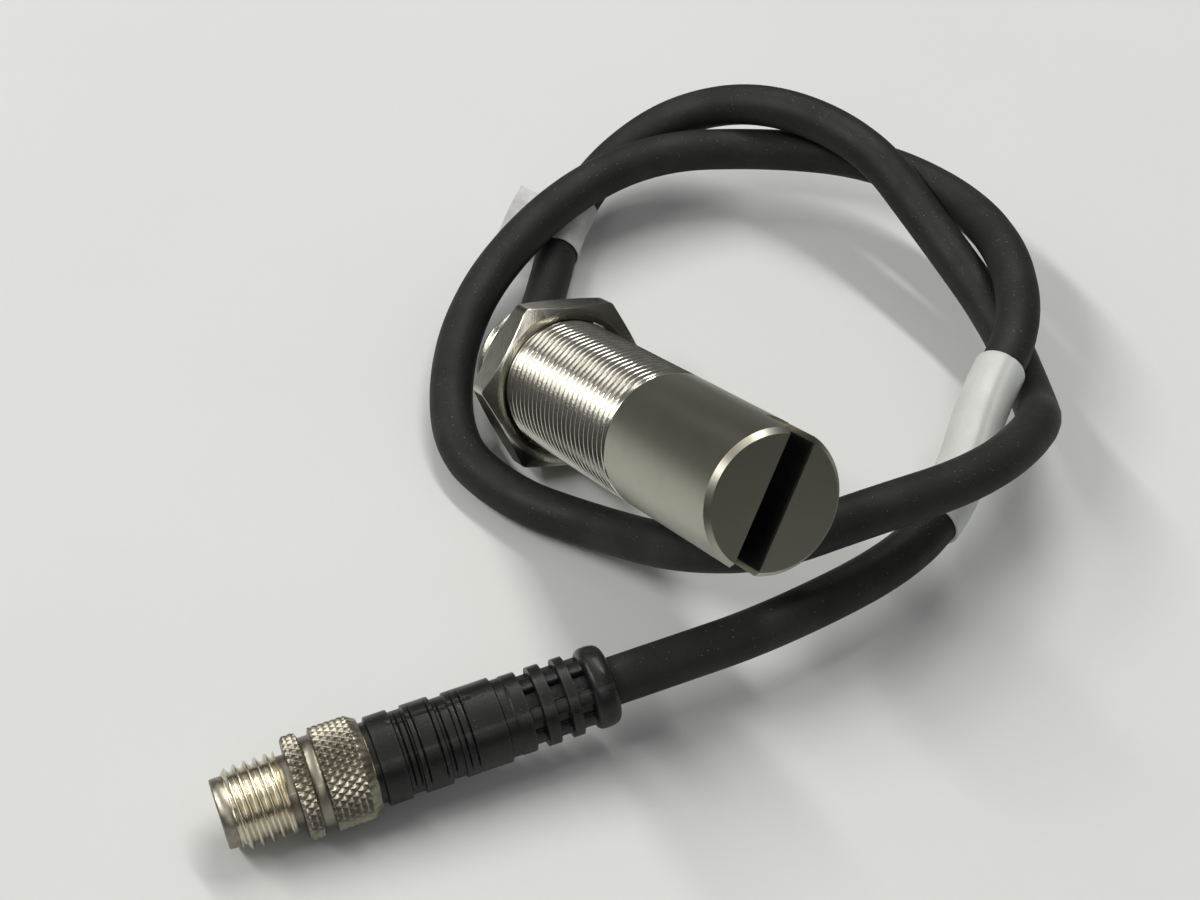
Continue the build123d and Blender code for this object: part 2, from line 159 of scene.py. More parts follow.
def soften(profile, size):
    """Cuts each corner of a closed (radius, height) profile back by a small size along both sides."""
    here = np.array(profile, float)
    toward = np.roll(here, -1, 0) - here
    length = np.linalg.norm(toward, axis=1, keepdims=True)
    step = toward / length * np.minimum(size, length / 3)
    return np.stack([here - np.roll(step, 1, 0), here + step], 1).reshape(-1, 2)


def lathe(profile, columns=96, size=0.06):
    """A closed profile carried round the z axis, with its corners softened."""
    ring = soften(profile, size)
    angle = np.linspace(0, 2 * np.pi, columns, endpoint=False)[None, :]
    points = round_z(ring[:, :1], angle, ring[:, 1:])
    return points, grid_faces(len(ring), columns, wrap_rows=True)


def join(*shapes):
    """Several (points, faces) shapes as one, with the face numbers moved on."""
    offsets = np.cumsum([0] + [len(points) for points, _ in shapes[:-1]])
    faces = [faces + offset for (_, faces), offset in zip(shapes, offsets)]
    return np.concatenate([points for points, _ in shapes]), np.concatenate(faces)


def local_frame(mount_name, back_mm, flip=False):
    """A matrix that stands a local z axis on a mount's axis, back from its point, y kept level."""
    mount = next(m for m in record["mounts"] if m["name"] == mount_name)
    z = Vector(mount["axis"]).normalized() * (-1 if flip else 1)
    y = Vector((-z.y, z.x, 0)).normalized() if abs(z.y) > 1e-6 else Vector((0, 1, 0))
    x = y.cross(z)
    origin = Vector(mount["pos_m"]) - z * back_mm / 1000
    turn = Matrix((x, y, z)).transposed().to_4x4()
    return Matrix.Translation(origin) @ turn


def make_piece(name, shape, place, body, crease=38.0):
    """A mesh object from a shape in local millimetres: doubles merged, normals outwards."""
    points, faces = shape
    turn = np.array(place.to_3x3())
    world = points @ turn.T / 1000 + np.array(place.translation)
    mesh = bpy.data.meshes.new(name)
    mesh.vertices.add(len(world))
    mesh.vertices.foreach_set("co", world.ravel())
    mesh.loops.add(faces.size)
    mesh.loops.foreach_set("vertex_index", faces.ravel())
    mesh.polygons.add(len(faces))
    mesh.polygons.foreach_set("loop_start", np.arange(0, faces.size, 4))
    mesh.update(calc_edges=True)
    work = bmesh.new()
    work.from_mesh(mesh)
    bmesh.ops.remove_doubles(work, verts=work.verts, dist=2e-6)
    bmesh.ops.recalc_face_normals(work, faces=work.faces)
    work.to_mesh(mesh)
    work.free()
    mesh.polygons.foreach_set("use_smooth", np.ones(len(mesh.polygons), bool))
    mesh.set_sharp_from_angle(angle=math.radians(crease))
    obj = bpy.data.objects.new(name, mesh)
    bpy.context.collection.objects.link(obj)
    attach(obj, body)
    print(name, len(mesh.polygons), "faces")
    return obj


sensor_place = local_frame("barrel_thread", 26.0)
plug_place = local_frame("plug_thread", 3.8, flip=True)

# %% [markdown]
# ## Screw threads
# A thread is one groove that climbs by a pitch each turn. Modelled as a stack of rings it would
# look right from far off but wrong at its ends and in its highlights. Here the grid itself is
# sheared: each column starts a little higher than the last, so its rows run along the helix, and
# the seam joins each row to the one a whole pitch above it.

# %% A true helical thread
FLANK = np.array([0, 0.05, 0.1, 0.16, 0.22, 0.28, 0.34, 0.4, 0.5, 0.6, 0.66, 0.72, 0.78, 0.84, 0.9, 0.95])


def thread(crest, bore, start, end, depth=0.56, pitch=1.0, columns=120, fade=(0.0, 0.0), lead_in=0.5):
    """A right-hand thread on a tube. Height = pitch x (turns + place in the groove), and the radius
    falls from the crest by the groove's depth, which fades out near the ends."""
    turns = int((end - start) / pitch) + 4
    along = (np.arange(turns)[:, None] + FLANK).ravel()[:, None] - 2
    around = np.arange(columns)[None, :] / columns
    raw = start + pitch * (along + around)
    height = np.clip(raw, start, end)
    aside = np.abs(np.mod(along + 0.5, 1.0) - 0.5)
    ramp = np.clip((aside - 0.05) / 0.35, 0, 1)
    groove = depth * (0.45 * ramp + 0.55 * ramp ** 2 * (3 - 2 * ramp))
    near = np.clip((height - start) / max(fade[0], 1e-6), 0, 1)
    far = np.clip((end - height) / max(fade[1], 1e-6), 0, 1)
    radius = crest - groove * near * far
    radius = np.minimum(radius, crest - lead_in + (height - start))
    outside = (raw < start - 0.09) | (raw > end + 0.09)
    radius = np.where(outside, bore, radius)
    points = round_z(radius, 2 * np.pi * around, height)
    rows = len(along)
    row, column = np.arange(rows - 1)[:, None], np.arange(columns)[None, :]
    step = np.where(column == columns - 1, len(FLANK), 0)
    nxt = (column + 1) % columns
    corners = np.stack(np.broadcast_arrays(
        row * columns + column, (row + step) * columns + nxt,
        (row + 1 + step) * columns + nxt, (row + 1) * columns + column), -1)
    whole = (row + 1 + step < rows).ravel()
    faces = corners.reshape(-1, 4)[whole]
    angle = 2 * np.pi * around
    inner = round_z(np.full((2, 1), bore), angle, np.array([[start], [end]]))
    return join((points, faces), (inner, grid_faces(2, columns)))


# %% [markdown]
# ## Barrel
# The barrel is one turned piece of nickelled brass: a thread for most of its length, then a
# plain head with a slot sawn across its end. A boolean cut leaves long thin faces beside the
# slot, so the head is made from whole shapes instead: a drum up to the slot's floor, and on it
# two prongs with a D-shaped outline that is drawn in at the top for the chamfer.

# %% Threaded part and slotted head
BARREL_R, BORE_R, HEAD_START, LENGTH = 7.0, 5.7, 31.5, 52.0
SLOT_HALF, SLOT_TURN = 1.425, math.radians(-38.5)
SLOT_FLOOR = LENGTH - 5.0
SHUT = 9.0  # an inset that closes a level to a line


def prong(side, arc_points=72, flat_points=24):
    """One side of the slotted end. Its outline is an arc and the chord along the slot, and each
    level draws the arc and the chord inwards by its own amounts."""
    levels = np.array([(SLOT_FLOOR, SHUT, SHUT), (SLOT_FLOOR, 0, 0), (LENGTH - 0.5, 0, 0),
                       (LENGTH - 0.1, 0.4, 0), (LENGTH, 0.5, 0), (LENGTH, SHUT, SHUT)])
    height, arc_in, flat_in = [levels[:, k][:, None] for k in range(3)]
    closed = arc_in == SHUT
    radius = np.where(closed, 4.2, BARREL_R - arc_in)
    flat = np.where(closed, 4.2, SLOT_HALF + flat_in)
    first = np.arcsin(np.clip(flat / radius, -1, 1))
    sweep = np.linspace(0, 1, arc_points)[None, :]
    angle = first + (np.pi - 2 * first) * sweep
    x_arc, y_arc = radius * np.cos(angle), radius * np.sin(angle)
    part = np.linspace(0, 1, flat_points + 2)[None, 1:-1]
    half = radius * np.cos(first)
    x = np.concatenate([x_arc, -half + 2 * half * part], 1)
    y = np.concatenate([y_arc, np.broadcast_to(flat, (len(levels), flat_points))], 1)
    x = np.where(closed, 0.0, x)
    tilt = SLOT_TURN + (0 if side > 0 else np.pi)
    z = np.broadcast_to(height, x.shape)
    turned_x = x * np.cos(tilt) - y * np.sin(tilt)
    turned_y = x * np.sin(tilt) + y * np.cos(tilt)
    points = np.stack([turned_x, turned_y, z], -1).reshape(-1, 3)
    return points, grid_faces(len(levels), arc_points + flat_points)


drum = lathe([(0, HEAD_START), (BARREL_R, HEAD_START), (BARREL_R, SLOT_FLOOR), (0, SLOT_FLOOR)], 160, 0.001)
thread_tube = make_piece(
    "barrel_thread", thread(BARREL_R, BORE_R, 0.0, HEAD_START, fade=(0, 1.0)), sensor_place, SENSOR, 60)
head = make_piece("barrel_head", join(drum, prong(1), prong(-1)), sensor_place, SENSOR, 30)
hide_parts("threaded_barrel")
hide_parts("threaded_barrel")

# %% [markdown]
# ## Painted shade in the slot
# Inside the metal rim the slot holds a near-black channel that paints the shade deep in the open
# slot: a channel with a floor and two thin walls. Its section is a folded strip, given by an outer and an
# inner line, and the strip is carried along the slot and closed at both ends.

# %% Slot channel of painted shade
CHANNEL_STEPS = 24


def channel(half_length=6.3, wall=0.16, floor=47.3, top=51.72):
    """Outer and inner lines of a U, at each place along the slot, turned to the slot's angle."""
    half = SLOT_HALF - 0.005
    outer = np.array([(-1, top), (-1, 46.6), (1, 46.6), (1, top)]) * [half, 1]
    inner = np.array([(1, top), (1, floor), (-1, floor), (-1, top)]) * [half - wall, 1]
    section = np.concatenate([outer, inner])
    along = np.linspace(-half_length, half_length, CHANNEL_STEPS)[:, None]
    across, height = section[:, 0] + 0 * along, section[:, 1] + 0 * along
    x = along * math.cos(SLOT_TURN) - across * math.sin(SLOT_TURN)
    y = along * math.sin(SLOT_TURN) + across * math.cos(SLOT_TURN)
    points = np.stack([x, y, height], -1).reshape(-1, 3)
    last = (CHANNEL_STEPS - 1) * len(section)
    caps = np.array([[k, k + 1, 6 - k, 7 - k] for k in range(3)])
    sides = grid_faces(CHANNEL_STEPS, len(section))
    return points, np.concatenate([sides, caps, caps[:, ::-1] + last])


# The near-black channel is painted shade: it darkens the deep slot the way the shade inside it would.
slot_shade_liner = make_piece("slot_shade_channel", channel(), sensor_place, SENSOR, 35)
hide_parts("sensing_window")

# %% [markdown]
# ## Lock nut
# A plain hexagon nut is chamfered at both ends by a cone, which leaves a curved edge on every
# flat. Cutting a prism with a cone works, but the same shape is a function: the radius of a
# hexagon at each angle, and a height that drops where that radius is outside the cone's circle.

# %% Nut
NUT_FLAT, NUT_CORNER, NUT_EDGE, NUT_BORE = 8.5, 9.72, 8.32, 7.12
NUT_REAR, NUT_TALL = 5.0, 4.0


def far_corner_angle(node, place):
    """The angle, about a local axis, of the vertex of a CAD node that is farthest from it."""
    mesh = frame["nodes"][node].data
    at = np.empty(len(mesh.vertices) * 3)
    mesh.vertices.foreach_get("co", at)
    local = at.reshape(-1, 3) - np.array(place.translation)
    local = local @ np.array(place.to_3x3())
    k = np.hypot(local[:, 0], local[:, 1]).argmax()
    return math.atan2(local[k, 1], local[k, 0])


def hex_nut(corner_angle, columns=240):
    """Rows go from the bore over the front face, the chamfer, the flat and the rear, and close."""
    t = np.linspace(0, 2 * np.pi, columns, endpoint=False)[None, :]
    aside = np.mod(t + np.pi / 6, np.pi / 3) - np.pi / 6
    hexagon = np.minimum(NUT_FLAT / np.cos(np.pi / 6 - np.abs(aside)), NUT_CORNER)
    drop = np.maximum(hexagon - NUT_EDGE, 0) * math.tan(math.radians(30))
    rows = [(NUT_BORE, 0.55), (7.18, 0.5), (7.62, 0.06), (7.7, 0.0), (NUT_EDGE - 0.06, 0.0)]
    front = [(np.full_like(t, r), np.full_like(t, d)) for r, d in rows]
    front += [(np.full_like(t, NUT_EDGE + 0.04), np.full_like(t, 0.03))]
    front += [(hexagon - 0.05, drop - 0.02), (hexagon, drop + 0.05)]
    back = [(r, NUT_TALL - d) for r, d in reversed(front)]
    radius = np.concatenate([r for r, _ in front + back])
    height = np.concatenate([NUT_REAR + NUT_TALL - d for _, d in front + back])
    points = round_z(radius, t + corner_angle, height)
    return points, grid_faces(len(radius), columns, wrap_rows=True)


nut_turn = far_corner_angle("lock_nut", sensor_place)
nut = make_piece("hexagon_nut", hex_nut(nut_turn), sensor_place, NUT, 24)
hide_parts("lock_nut")

# %% [markdown]
# ## Screw plug
# The plug's coupling ring has a short pilot, a fine thread and a grip with a diamond knurl. A
# knurl is two families of slanting grooves that cross. Instead of cutting hundreds of grooves,
# the radius is lowered by whichever family is deeper at each point of a fine grid.

# %% Coupling ring with its knurl
GRIP_R, KNURL_COUNT, KNURL_DEPTH, KNURL_SLANT = 5.0, 38, 0.26, 0.85


def knurl(angle, height):
    """How far the knurl lies below the grip: the nearer of two slanting groove families, each a
    zigzag of (turns x count + or - height x slant)."""
    turns = angle / (2 * np.pi) * KNURL_COUNT
    first = np.abs(np.mod(turns + height * KNURL_SLANT, 1) - 0.5) * 2
    second = np.abs(np.mod(turns - height * KNURL_SLANT, 1) - 0.5) * 2
    return KNURL_DEPTH * np.clip(np.maximum(first, second) * 1.25 - 0.25, 0, 1)


def grip(columns=KNURL_COUNT * 16):
    """A closed profile of (radius, height, share of the knurl) carried round the axis: radius less
    share x knurl."""
    band_one = [(GRIP_R, z, 1.0) for z in np.arange(7.48, 8.68, 0.05)]
    band_two = [(GRIP_R, z, 1.0) for z in np.arange(10.0, 13.42, 0.055)]
    rows = np.array([
        (2.92, 6.2, 0), (3.34, 6.2, 0), (3.4, 6.3, 0), (3.4, 7.15, 0), (3.5, 7.2, 0), (4.6, 7.2, 0),
        (4.72, 7.24, 0), *band_one, (4.72, 8.74, 0.3), (4.45, 8.84, 0), (4.4, 8.95, 0), (4.4, 9.7, 0),
        (4.45, 9.8, 0), (4.74, 9.9, 0.3), *band_two, (4.98, 13.48, 0.5), (4.9, 13.6, 0.2), (4.46, 14.32, 0),
        (4.38, 14.4, 0), (3.62, 14.4, 0), (3.55, 14.3, 0), (3.55, 8.55, 0), (2.92, 8.5, 0)])
    t = np.linspace(0, 2 * np.pi, columns, endpoint=False)[None, :]
    radius = rows[:, :1] - rows[:, 2:] * knurl(t, rows[:, 1:2])
    points = round_z(radius, t, rows[:, 1:2])
    return points, grid_faces(len(rows), columns, wrap_rows=True)


pilot = lathe([(2.92, 0.0), (3.35, 0.0), (3.35, 1.42), (2.92, 1.42)], 96, 0.12)
screw = thread(4.0, 2.9, 1.2, 6.35, depth=0.56, columns=96, fade=(0.0, 0.25), lead_in=0.5)
ring = make_piece("coupling_screw", screw, plug_place, COUPLING, 60)
pilot_piece = make_piece("coupling_pilot", pilot, plug_place, COUPLING, 50)
grip_piece = make_piece("coupling_grip", grip(), plug_place, COUPLING, 42)
for piece in (ring, pilot_piece, grip_piece):
    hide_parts("coupling_ring")

# %% [markdown]
# ## Strain relief boot
# The boot is moulded over the plug's core and the cable. Its back is a row of thin rings with
# windows between them, so that it can bend. The shape is again a radius over angle and height:
# a table of bands gives the rings, and inside the gaps the radius falls to the core unless the
# angle is on a web.

# %% Boot with windows and grip lines
BOOT_START, WINDOWS, WEB_R, GAP_BELOW = 14.45, 6, 3.36, 3.5
BANDS = [
    (3.9, 0.0, 0.6), (4.3, 0.6, 2.9), (4.0, 2.9, 4.2), (4.25, 4.2, 6.9), (3.9, 6.9, 8.2),
    (4.12, 8.2, 12.8), (3.78, 12.8, 13.8), (3.86, 13.8, 15.3), (2.6, 15.3, 16.4), (3.86, 16.4, 17.7),
    (2.6, 17.7, 18.9), (3.84, 18.9, 20.0), (2.6, 20.0, 21.3),
]
TAIL = [
    (3.5, 21.34), (3.72, 21.45), (3.88, 21.65), (3.96, 21.95), (3.97, 22.4), (3.95, 22.8), (3.86, 23.2),
    (3.68, 23.5), (3.4, 23.7), (3.05, 23.8), (2.55, 23.8), (2.45, 23.7), (2.45, 21.9), (2.45, 0.05),
]
GRIP_LINES = [3.35, 3.95, 4.75, 6.4, 7.3, 8.75, 9.5]
TOWARD_LIGHT = math.radians(214)


def boot(columns=288):
    """Radius = band radius, raised to the webs between windows in the gaps, less shallow grip lines on
    the upper side, less a seam along one side. The tail's rows are the same all round."""
    edge = 0.07
    rows = np.array([(r, z, float(r < GAP_BELOW)) for r, a, b in BANDS
                     for z in np.linspace(a + edge, b - edge, 3 + int((b - a) * 4))])
    fine = np.concatenate([np.arange(z - 0.16, z + 0.17, 0.04) for z in GRIP_LINES])
    extra = np.stack([np.interp(fine, rows[:, 1], rows[:, 0]), fine, np.zeros(len(fine))], 1)
    rows = np.concatenate([rows, extra])
    rows = rows[np.argsort(rows[:, 1], kind="stable")]
    base, height, gap = rows[:, :1], rows[:, 1:2], rows[:, 2:]
    t = np.linspace(0, 2 * np.pi, columns, endpoint=False)[None, :]
    around = np.cos(WINDOWS * (t - TOWARD_LIGHT + math.radians(14)))
    web = 1 / (1 + np.exp(16 * (around + 0.05)))
    radius = np.where(gap > 0.5, base + (WEB_R - base) * web, base)
    lines = np.exp(-((height - np.array(GRIP_LINES)[None, :]) / 0.07) ** 2).max(1, keepdims=True)
    upper = 1 / (1 + np.exp(-16 * (np.cos(t - TOWARD_LIGHT) - 0.5)))
    radius = radius - 0.2 * lines * upper
    seam = np.exp(-(np.angle(np.exp(1j * (t - TOWARD_LIGHT + 0.72))) / 0.035) ** 2)
    radius = radius - 0.14 * seam * ((height > 2.6) & (height < 10.5))
    tail = np.array(TAIL)
    radius = np.concatenate([radius, np.broadcast_to(tail[:, :1], (len(tail), columns))])
    height = np.concatenate([height, tail[:, 1:]])
    points = round_z(radius, t, BOOT_START + height)
    return points, grid_faces(len(height), columns, wrap_rows=True)


boot_piece = make_piece("boot_moulding", boot(), plug_place, SENSOR, 40)
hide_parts("strain_relief_boot")

# %% [markdown]
# ## Sleeves along the cable
# A white marker sleeve and a wrapped flag label are threaded on the cable, so they bend with it.
# They follow the cable's own smoothed line: at each of its points one level direction across the cable
# and one at right angles to both are found, and an outline is drawn in them.

# %% Frames along the cable and the sleeve


def stretch_of_line(start, end, count):
    """Evenly spaced points of the cable's line between two lengths in metres, with their frames.
    Each side direction is level, at right angles to the cable, and the other one completes it."""
    at = np.linspace(start, end, count)
    points = np.stack([np.interp(at, cable_reach, cable_line[:, k]) for k in range(3)], 1)
    reach = 5
    padded = np.pad(points, ((reach, reach), (0, 0)), mode="reflect", reflect_type="odd")
    kernel = np.ones(2 * reach + 1) / (2 * reach + 1)
    points = np.stack([np.convolve(padded[:, k], kernel, "valid") for k in range(3)], 1)
    forward = np.gradient(points, axis=0)
    forward /= np.linalg.norm(forward, axis=1, keepdims=True)
    side = np.cross(forward, [0, 0, 1.0])
    side /= np.linalg.norm(side, axis=1, keepdims=True)
    return points, forward, side, np.cross(side, forward)


def nearest_length(target, low, high):
    """The cable length, between two limits in metres, where its line is nearest to a point."""
    near = np.linalg.norm(cable_line - np.array(target), axis=1)
    near[(cable_reach < low) | (cable_reach > high)] = 9.0
    return float(cable_reach[near.argmin()])


def sleeve(start, end, inner, outer, count=90, columns=64):
    """A tube along the cable: rows run out along its outside and back along its inside."""
    points, _, side, up = stretch_of_line(start, end, count)
    t = np.linspace(0, 2 * np.pi, columns, endpoint=False)
    across = side[:, None, :] * np.cos(t)[None, :, None] + up[:, None, :] * np.sin(t)[None, :, None]
    reach = np.full((count, columns), outer)
    reach[0] = reach[-1] = (inner + 2 * outer) / 3
    seam = np.exp(-(np.angle(np.exp(1j * (t - 2.0))) / 0.09) ** 2)
    reach = reach - 0.08 * seam
    skin = points[:, None, :] + across * reach[:, :, None] / 1000
    lining = (points[:, None, :] + across * inner / 1000)[::-1]
    both = np.concatenate([skin, lining]).reshape(-1, 3) * 1000
    return both, grid_faces(2 * count, columns, wrap_rows=True)


low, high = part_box("marker_sleeve")
sleeve_from = nearest_length((low.x + 0.0015, high.y - 0.0015, high.z - 0.003), 0.26, 0.36)
sleeve_to = nearest_length((high.x - 0.0015, low.y + 0.0015, low.z + 0.003), 0.26, 0.36)
identity = Matrix.Identity(4)
marker = make_piece("marker_tube", sleeve(sleeve_from, sleeve_to, 2.42, 2.75), identity, SENSOR, 50)
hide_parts("marker_sleeve")
print("sleeve from", round(sleeve_from, 4), "to", round(sleeve_to, 4))

# %% [markdown]
# ## Flag label
# The label is a strip of clear film, stuck round the cable with its two ends pressed together. A
# flat strip could be bent with a modifier, but its outline is only one line, so it is written
# down once and drawn at each place along the cable.

# %% Flag label
LABEL_HALF = 0.0038


def label(start, end, count=24, inner=2.4, thickness=0.12, flag=4.6):
    """A strip wrapped once round the cable whose ends meet and stand out as a flag. Its outline is
    an open line: out along the flag, once round, and back beside itself, given a thickness."""
    points, _, side, up = stretch_of_line(start, end, count)
    t = np.linspace(0.05, 2 * np.pi - 0.05, 48)
    out = np.linspace(flag, 0.5, 10)
    wrap_x, wrap_y = (inner + thickness) * np.cos(t), (inner + thickness) * np.sin(t)
    curl = 0.9 * (out / flag) ** 2
    x = np.concatenate([inner + out, wrap_x, inner + out[::-1]])
    y = np.concatenate([0.08 + curl, wrap_y, -0.06 + curl[::-1]])
    line = np.stack([x, y], 1)
    along_line = np.gradient(line, axis=0)
    normal = np.stack([-along_line[:, 1], along_line[:, 0]], 1)
    normal /= np.linalg.norm(normal, axis=1, keepdims=True)
    outline = np.concatenate([line + normal * thickness / 2, (line - normal * thickness / 2)[::-1]])
    skin = points[:, None, :] - side[:, None, :] * outline[None, :, :1] / 1000
    skin = skin + up[:, None, :] * outline[None, :, 1:] / 1000
    rows = skin.reshape(-1, 3) * 1000
    faces = grid_faces(count, len(outline))
    width = len(outline)
    k = np.arange(width // 2 - 1)
    ends = []
    for base, flip in ((0, False), ((count - 1) * width, True)):
        quad = np.stack([base + k, base + k + 1, base + width - 2 - k, base + width - 1 - k], 1)
        ends.append(quad[:, ::-1] if flip else quad)
    return rows, np.concatenate([faces, *ends])


low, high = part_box("flag_label")
label_at = nearest_length((low + high) / 2, 0.0, 0.08)
label_shape = label(label_at - LABEL_HALF, label_at + LABEL_HALF)
label_piece = make_piece("wrapped_label", label_shape, identity, SENSOR, 50)
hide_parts("flag_label")

# %% [markdown]
# The cable is stiff and keeps the loose turns of its given route.

# %% [markdown]
# ## Shared finishes
# Real surfaces are never one flat value: plating is a little cloudy, mouldings have a fine grain,
# and dust settles on what faces up. These three effects are wanted in nearly every material, so
# each is one node group with named inputs, placed in a material with that material's numbers.

# %% Group helpers


def new_group(name, inputs, outputs):
    """An empty shader group with named sockets: each input is (name, kind, default)."""
    group = bpy.data.node_groups.new(name, "ShaderNodeTree")
    for label_text, kind, default in inputs:
        socket = group.interface.new_socket(label_text, in_out="INPUT", socket_type="NodeSocket" + kind)
        socket.default_value = default
    for label_text, kind in outputs:
        group.interface.new_socket(label_text, in_out="OUTPUT", socket_type="NodeSocket" + kind)
    return group, group.nodes.new("NodeGroupInput"), group.nodes.new("NodeGroupOutput")


def node(tree, kind, settings=None, **inputs):
    """A new node, with its settings and with values or links for its inputs by name."""
    made = tree.nodes.new(kind)
    for key, value in (settings or {}).items():
        setattr(made, key, value)
    for key, value in inputs.items():
        socket = made.inputs[int(key[1:])] if key[0] == "i" and key[1:].isdigit() else made.inputs[key]
        if isinstance(value, bpy.types.NodeSocket):
            tree.links.new(value, socket)
        else:
            socket.default_value = value
    return made


def blend_color(tree, amount, low, high):
    """The colour between low and high at an amount."""
    mixed = node(tree, "ShaderNodeMix", {"data_type": "RGBA"})
    for socket, value in ((mixed.inputs[0], amount), (mixed.inputs[6], low), (mixed.inputs[7], high)):
        if isinstance(value, bpy.types.NodeSocket):
            tree.links.new(value, socket)
        else:
            socket.default_value = value
    return mixed.outputs[2]


# %% Group: cloudy grain


def build_cloudy():
    """Colour and roughness drift between two values in soft patches, and a fine grain adds height."""
    white = (1, 1, 1, 1)
    group, given, result = new_group("cloudy_grain", [
        ("Light Color", "Color", white), ("Dark Color", "Color", white), ("Patch Scale", "Float", 300.0),
        ("Grain Scale", "Float", 3000.0), ("Low Roughness", "Float", 0.3), ("High Roughness", "Float", 0.5),
    ], [("Color", "Color"), ("Roughness", "Float"), ("Height", "Float")])
    place = node(group, "ShaderNodeTexCoord").outputs["Object"]
    patch = node(group, "ShaderNodeTexNoise", Vector=place, Scale=given.outputs["Patch Scale"], Detail=4.0)
    grain = node(group, "ShaderNodeTexNoise", Vector=place, Scale=given.outputs["Grain Scale"], Detail=2.0)
    soft = node(group, "ShaderNodeMapRange", None, i0=patch.outputs["Fac"], i1=0.35, i2=0.65)
    fine = node(group, "ShaderNodeMapRange", None, i0=grain.outputs["Fac"], i1=0.3, i2=0.7)
    both = node(group, "ShaderNodeMath", {"operation": "MULTIPLY_ADD"},
                i0=fine.outputs[0], i1=0.3, i2=soft.outputs[0])
    share = node(group, "ShaderNodeMath", {"operation": "MULTIPLY", "use_clamp": True},
                 i0=both.outputs[0], i1=0.77)
    color = blend_color(group, share.outputs[0], given.outputs["Dark Color"], given.outputs["Light Color"])
    rough = node(group, "ShaderNodeMapRange", None, i0=share.outputs[0], i1=0.0, i2=1.0,
                 i3=given.outputs["High Roughness"], i4=given.outputs["Low Roughness"])
    group.links.new(color, result.inputs["Color"])
    group.links.new(rough.outputs[0], result.inputs["Roughness"])
    group.links.new(grain.outputs["Fac"], result.inputs["Height"])
    return group


cloudy_grain = build_cloudy()
print("group", cloudy_grain.name, len(cloudy_grain.nodes), "nodes")

# %% Group: settled dust


def build_dust():
    """Small pale specks where cells of a grid are below a threshold, more of them facing up."""
    group, given, result = new_group("settled_dust", [
        ("Color", "Color", (1, 1, 1, 1)), ("Dust Color", "Color", (0.6, 0.58, 0.55, 1)),
        ("Speck Scale", "Float", 2500.0), ("Amount", "Float", 0.1),
    ], [("Color", "Color"), ("Mask", "Float")])
    place = node(group, "ShaderNodeTexCoord").outputs["Object"]
    scale, amount = given.outputs["Speck Scale"], given.outputs["Amount"]
    cells = node(group, "ShaderNodeTexVoronoi", Vector=place, Scale=scale)
    chance = node(group, "ShaderNodeTexNoise", Vector=place, Scale=700.0, Detail=3.0)
    size = node(group, "ShaderNodeMath", {"operation": "MULTIPLY"}, i0=chance.outputs["Fac"], i1=amount)
    speck = node(group, "ShaderNodeMath", {"operation": "LESS_THAN"},
                 i0=cells.outputs["Distance"], i1=size.outputs[0])
    outward = node(group, "ShaderNodeNewGeometry").outputs["Normal"]
    normal = node(group, "ShaderNodeSeparateXYZ", Vector=outward)
    upward = node(group, "ShaderNodeMapRange", None,
                  i0=normal.outputs["Z"], i1=-0.2, i2=0.9, i3=0.1, i4=0.8)
    mask = node(group, "ShaderNodeMath", {"operation": "MULTIPLY"},
                i0=speck.outputs[0], i1=upward.outputs[0])
    color = blend_color(group, mask.outputs[0], given.outputs["Color"], given.outputs["Dust Color"])
    group.links.new(color, result.inputs["Color"])
    group.links.new(mask.outputs[0], result.inputs["Mask"])
    return group


settled_dust = build_dust()
print("group", settled_dust.name, len(settled_dust.nodes), "nodes")

# %% Group: worn edges


def build_edge_wear():
    """Convex edges are rubbed to a brighter or barer colour, more in some places than in others."""
    group, given, result = new_group("worn_edges", [
        ("Color", "Color", (1, 1, 1, 1)), ("Worn Color", "Color", (1, 1, 1, 1)), ("Amount", "Float", 0.5),
    ], [("Color", "Color"), ("Mask", "Float")])
    edge = node(group, "ShaderNodeNewGeometry").outputs["Pointiness"]
    sharp = node(group, "ShaderNodeMapRange", None, i0=edge, i1=0.51, i2=0.56)
    place = node(group, "ShaderNodeTexCoord").outputs["Object"]
    patchy = node(group, "ShaderNodeTexNoise", Vector=place, Scale=900.0, Detail=3.0)
    drift = node(group, "ShaderNodeMapRange", None, i0=patchy.outputs["Fac"], i1=0.3, i2=0.6)
    product = node(group, "ShaderNodeMath", {"operation": "MULTIPLY"},
                   i0=sharp.outputs[0], i1=drift.outputs[0])
    mask = node(group, "ShaderNodeMath", {"operation": "MULTIPLY", "use_clamp": True},
                i0=product.outputs[0], i1=given.outputs["Amount"])
    color = blend_color(group, mask.outputs[0], given.outputs["Color"], given.outputs["Worn Color"])
    group.links.new(color, result.inputs["Color"])
    group.links.new(mask.outputs[0], result.inputs["Mask"])
    return group


worn_edges = build_edge_wear()
print("group", worn_edges.name, len(worn_edges.nodes), "nodes")

# %% [markdown]
# ## Materials
# One recipe serves all the finishes: a cloudy grain gives colour and roughness, worn edges and
# dust are added where they belong, and a bump carries the grain's height. Values that are the
# same all over a piece stay on the shader's own sockets.

# %% The recipe


